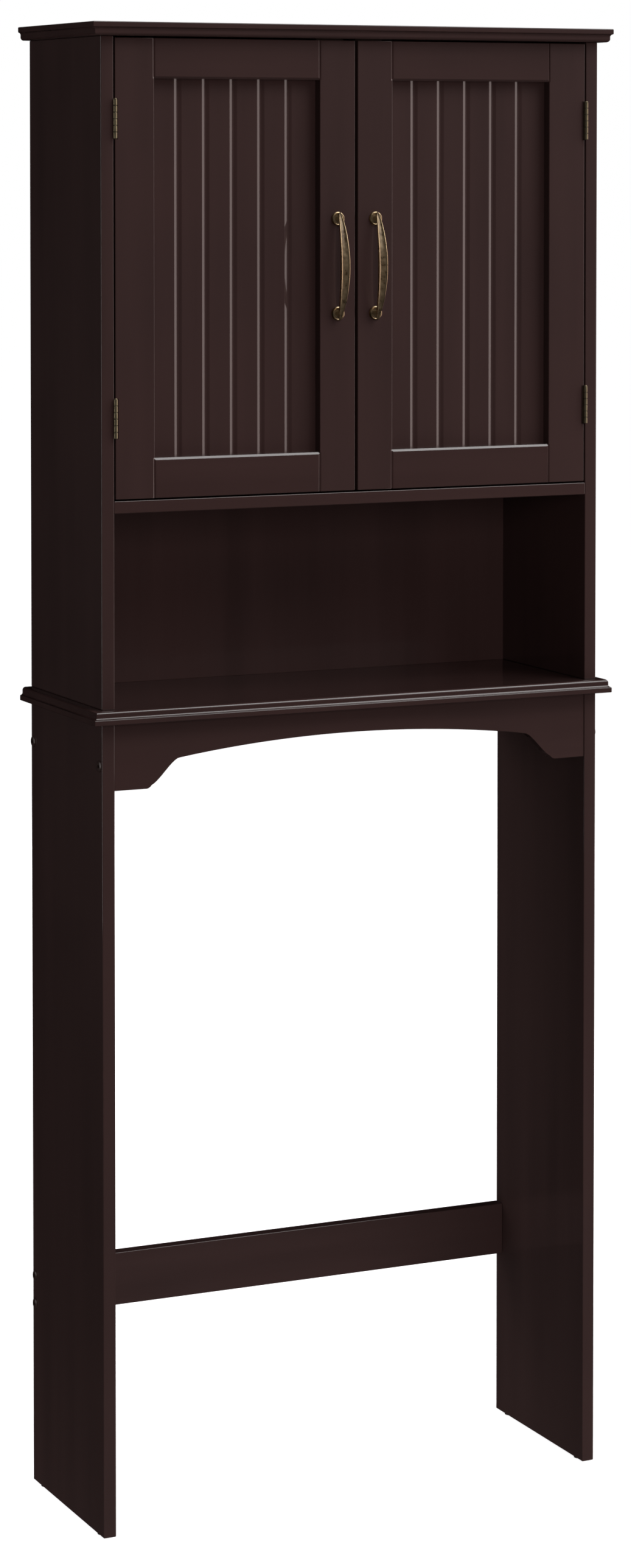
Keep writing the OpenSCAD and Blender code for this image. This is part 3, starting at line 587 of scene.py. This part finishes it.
def handle_bow(side):
    """Lens-shaped strap, dished along its middle, on two posts."""
    node = "handle_bow_" + side
    low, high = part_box(node)
    middle = (low + high) / 2
    half_w = (high.x - low.x) / 2
    half_l = (high.z - low.z) / 2
    bow_r = (BOW_CHORD**2 + BOW_DROP**2) / (2 * BOW_DROP)
    side_r = (half_l**2 + (BOW_TAPER * half_w) ** 2) / (2 * BOW_TAPER * half_w)
    section = strap_section()
    bm = bmesh.new()
    last = None
    for i in range(BOW_STATIONS + 1):
        along = -math.cos(math.pi * i / BOW_STATIONS)
        z = half_l * along
        width = half_w - (side_r - math.sqrt(side_r**2 - z * z))
        tip = math.sqrt(max(1 - abs(along) ** TIP_POWER, TIP_LEAST))
        lean = math.asin(z / bow_r)
        out = Vector((0, -math.cos(lean), math.sin(lean)))
        surface = Vector((middle.x, low.y + bow_r - math.sqrt(bow_r**2 - z * z), middle.z + z))
        ring = ring_of_points(
            bm,
            [
                surface
                + Vector((a * width * tip, 0, 0))
                - out * BOW_T * (1 - b) * (1 - TIP_THINNING + TIP_THINNING * tip)
                for a, b in section
            ],
        )
        if last:
            bridge(bm, last, ring)
        else:
            bm.faces.new(ring)
        last = ring
    bm.faces.new(last)
    for z in (-HANDLE_PITCH / 2, HANDLE_PITCH / 2):
        strap_y = low.y + bow_r - math.sqrt(bow_r**2 - z * z) + BOW_T * 0.8
        post_l = high.y - strap_y
        lathe(
            bm,
            (
                (0, 0),
                (POST_R, 0),
                (POST_R, 0.55 * post_l),
                (0.86 * POST_R, 0.8 * post_l),
                (0.8 * POST_R, post_l),
                (0, post_l),
            ),
            (middle.x, high.y, middle.z + z),
            FORWARD,
        )
    piece = piece_from(bm, "bow_pull_" + side, HANDLE_BRASS, node, smooth_angle=HANDLE_SMOOTH)

    def patina_and_shade(point):
        z = point.z - middle.z
        front = low.y + bow_r - math.sqrt(max(bow_r**2 - z * z, 0))
        depth = (point.y - front) / BOW_T
        taper = max(1 - BOW_TAPER * (z / half_l) ** 2, 0.2)
        across = abs(point.x - middle.x) / (half_w * taper)
        if depth > 0.66:
            return 0.4
        return min(max((PATINA_EDGE - across) / PATINA_FADE, 0), 1)

    mark_patina_and_shade(piece.data, patina_and_shade)


def handle_rosettes(side):
    """Ring with a raised bead and a sunk middle under each end of a handle."""
    node = "handle_rosettes_" + side
    low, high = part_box(node)
    middle = (low + high) / 2
    bm = bmesh.new()
    height = high.y - low.y
    bead = [
        (
            ROSETTE_R - ROSETTE_BEAD + ROSETTE_BEAD * math.cos(t),
            height - ROSETTE_BEAD + ROSETTE_BEAD * math.sin(t),
        )
        for t in [math.pi * i / ROUND_STEPS for i in range(ROUND_STEPS + 1)]
    ]
    throat = POST_R + 0.05 * MM
    profile = [(ROSETTE_R, 0)] + bead + [(DISH_R, DISH_FLOOR), (throat, THROAT_FLOOR), (throat, 0)]
    for z in (-HANDLE_PITCH / 2, HANDLE_PITCH / 2):
        lathe(bm, profile, (middle.x, high.y, middle.z + z), FORWARD)
    piece = piece_from(bm, "rosettes_" + side, HANDLE_BRASS, node, smooth_angle=HANDLE_SMOOTH)

    def patina_and_shade(point):
        z = HANDLE_PITCH / 2 if point.z > middle.z else -HANDLE_PITCH / 2
        radius = math.hypot(point.x - middle.x, point.z - middle.z - z)
        return min(max((ROSETTE_R - 1.5 * ROSETTE_BEAD - radius) / (0.4 * MM), 0), 1)

    mark_patina_and_shade(piece.data, patina_and_shade)


for side in SIDES:
    handle_bow(side)
    handle_rosettes(side)


# ---- hinges ----


def hinge_leaf(node):
    """A leaf whose knuckles have rounded ends, with painted shade where they meet and on the leaf
    in the door gap.
    """
    bm = cad_copy(node)
    low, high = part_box(node)
    barrel_y = low.y + BARREL_R
    pin_x = low.x + BARREL_R if "_left" in node else high.x - BARREL_R
    plates = [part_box(node.replace(a, b)) for a, b in (("frame", "door"), ("door", "frame"))]
    foot = min(low.z, *(box[0].z for box in plates))
    top = max(high.z, *(box[1].z for box in plates))
    pitch = (top - foot) / KNUCKLES
    rims = [
        edge
        for edge in long_sharp_edges(bm, 0, SQUARE)
        if all(
            math.hypot(v.co.x - pin_x, v.co.y - barrel_y) > BARREL_R - 0.05 * MM
            and v.co.y < barrel_y + 1.5 * MM
            for v in edge.verts
        )
        and abs(edge.verts[0].co.z - edge.verts[1].co.z) < 0.01 * MM
    ]
    straight = [edge for edge in long_sharp_edges(bm, 3 * MM, SQUARE) if edge not in rims]
    bmesh.ops.bevel(
        bm,
        geom=rims + straight,
        offset=HINGE_EASE,
        offset_type="OFFSET",
        segments=2,
        profile=0.5,
        affect="EDGES",
        clamp_overlap=False,
    )
    for k in range(KNUCKLES + 1):
        for reach in (-SHADED_END, SHADED_END):
            bmesh.ops.bisect_plane(
                bm,
                geom=bm.verts[:] + bm.edges[:] + bm.faces[:],
                plane_co=(0, 0, foot + k * pitch + reach),
                plane_no=(0, 0, 1),
            )
    leaf = piece_from(bm, node + "_eased", HINGE_BRASS, node, smooth_angle=SMOOTH)

    # Painted shade: the leaf behind the barrel gets most of the dark tone and each knuckle end all
    # of it; the rest of each knuckle gets a little.
    def patina_and_shade(point):
        if point.y > barrel_y + 1.6 * MM:
            return 0.9
        step = (point.z - foot) / pitch
        near = abs(step - round(step)) * pitch
        return 0.35 if near > 0.9 * SHADED_END else 1.0

    mark_patina_and_shade(leaf.data, patina_and_shade)


for node in NODE_SLOT:
    if "_leaf_" in node and "screws" not in node:
        hinge_leaf(node)


# ---- bolts ----


def connector_bolts():
    """Domed socket heads on the outside of the legs, with their shanks."""
    node = "connector_bolts"
    bm = bmesh.new()
    for low, high in solid_boxes(node):
        centre = (low + high) / 2
        outward = 1 if centre.x > 0 else -1
        face_x = high.x - BOLT_HEAD_T if outward > 0 else low.x + BOLT_HEAD_T
        shank = (high.x - low.x) - BOLT_HEAD_T
        dome = [
            (
                BOLT_SOCKET * 1.25 + (BOLT_HEAD_R - BOLT_SOCKET * 1.25) * math.cos(t),
                BOLT_RIM + (BOLT_HEAD_T - BOLT_RIM) * math.sin(t),
            )
            for t in [math.pi / 2 * i / ROUND_STEPS for i in range(ROUND_STEPS + 1)]
        ]
        socket = (
            (BOLT_SOCKET, BOLT_HEAD_T - 0.05 * MM, 6),
            (BOLT_SOCKET, 0.35 * MM, 6),
            (0, 0.3 * MM),
        )
        profile = [
            (0, -shank),
            (0.85 * BOLT_R, -shank),
            (BOLT_R, -shank + 0.5 * MM),
            (BOLT_R, 0),
            (BOLT_HEAD_R, 0),
        ]
        lathe(
            bm,
            (*profile, *dome, *socket),
            (face_x, centre.y, centre.z),
            (outward, 0, 0),
        )
    piece = piece_from(bm, "domed_bolts", BRONZE, node)

    def patina_and_shade(point):
        proud = abs(point.x) - (CAD_BOX[1].x - BOLT_HEAD_T)
        return 1.0 if proud < 0.4 * MM else 0.3

    mark_patina_and_shade(piece.data, patina_and_shade)


connector_bolts()


# ---- carried-over CAD nodes ----

for node, obj in frame["nodes"].items():
    obj.data.materials.clear()
    obj.data.materials.append(SLOT_MATERIALS[NODE_SLOT[node]])


# ---- stage, light and camera ----


def stage_plane(name, left, reach, height, tone, glow):
    """A level plane that isn't part of the object."""
    mesh = bpy.data.meshes.new(name)
    corners = [(left, -reach), (reach, -reach), (reach, reach), (left, reach)]
    mesh.from_pydata([(x, y, height) for x, y in corners], [], [(0, 1, 2, 3)])
    material = bpy.data.materials.new(name)
    material.use_nodes = True
    shader = material.node_tree.nodes["Principled BSDF"]
    shader.inputs["Base Color"].default_value = (tone, tone, tone, 1)
    shader.inputs["Roughness"].default_value = 0.9
    shader.inputs["Specular IOR Level"].default_value = 0.1
    shader.inputs["Emission Color"].default_value = (1, 1, 1, 1)
    shader.inputs["Emission Strength"].default_value = glow
    material.cycles.emission_sampling = "NONE"
    mesh.materials.append(material)
    plane = bpy.data.objects.new(name, mesh)
    bpy.context.scene.collection.objects.link(plane)
    plane.visible_glossy = False
    return plane


def stage_floor():
    """The floor that is seen, and under it the softer one that lights the object."""
    seen = stage_plane("studio_floor", -FLOOR_REACH, FLOOR_REACH, 0, FLOOR_TONE, FLOOR_GLOW)
    seen.visible_diffuse = False
    seen.visible_shadow = False
    bounce = stage_plane("studio_bounce", BOUNCE_LEFT, BOUNCE_REACH, -10 * MM, 0, BOUNCE_GLOW)
    bounce.visible_camera = False


def area_light(name, place, target, width, height, power, tone=(1, 1, 1), shines=True):
    """A softbox aimed at target. One that doesn't shine gives light but no highlight."""
    data = bpy.data.lights.new(name, "AREA")
    data.shape = "RECTANGLE"
    data.size = width
    data.size_y = height
    data.energy = power
    data.color = tone
    light = bpy.data.objects.new(name, data)
    light.location = place
    light.rotation_euler = (Vector(target) - Vector(place)).to_track_quat("-Z", "Y").to_euler()
    bpy.context.scene.collection.objects.link(light)
    light.visible_camera = False
    light.visible_glossy = shines


def studio_light():
    """A soft sun, five softboxes and a white backdrop that only the camera sees."""
    sun_data = bpy.data.lights.new("overhead_sun", "SUN")
    sun_data.energy = SUN_STRENGTH
    sun_data.angle = math.radians(SUN_ANGLE)
    sun = bpy.data.objects.new("overhead_sun", sun_data)
    up, turn = math.radians(SUN_ELEVATION), math.radians(SUN_AZIMUTH)
    towards = Vector((math.cos(up) * math.sin(turn), -math.cos(up) * math.cos(turn), math.sin(up)))
    sun.rotation_euler = towards.to_track_quat("Z", "Y").to_euler()
    bpy.context.scene.collection.objects.link(sun)
    area_light("right_strip", (3.35, -1.05, 1.35), (0, -0.1, 1.35), 1.9, 2.2, 28, (1, 0.84, 0.8))
    area_light("key_softbox", (2.3, -1.9, 4.1), (0, 0, 1.2), 3.6, 3.6, 130)
    area_light("front_fill", (-1.0, -4.5, 1.7), (0, 0, 1.0), 1.2, 1.6, 75, shines=False)
    area_light("left_fill", (-3.6, 1.05, 1.2), (-0.3, 0, 1.2), 1.2, 2.4, 44)
    area_light("rear_softbox", (1.5, 4.2, 2.0), (0, 0, 0.9), 2.0, 2.0, 60, shines=False)
    world = bpy.data.worlds.new("studio")
    bpy.context.scene.world = world
    world.use_nodes = True
    background = world.node_tree.nodes["Background"]
    background.inputs["Color"].default_value = (BACKDROP_TONE, BACKDROP_TONE, BACKDROP_TONE, 1)
    world.cycles_visibility.glossy = False
    world.cycles_visibility.diffuse = False


def camera():
    """Long lens on the object's left, nearly level, framed by lens shift."""
    data = bpy.data.cameras.new("photo_camera")
    data.lens = CAMERA_LENS
    data.sensor_width = CAMERA_SENSOR
    data.shift_y = CAMERA_SHIFT_Y
    data.clip_end = CAMERA_FAR
    obj = bpy.data.objects.new("photo_camera", data)
    obj.location = CAMERA_PLACE
    yaw, pitch = math.radians(CAMERA_YAW), math.radians(CAMERA_PITCH)
    obj.rotation_euler = (math.pi / 2 + pitch, 0, yaw)
    bpy.context.scene.collection.objects.link(obj)
    bpy.context.scene.camera = obj


stage_floor()
studio_light()
camera()
bpy.context.scene.view_settings.view_transform = "Standard"
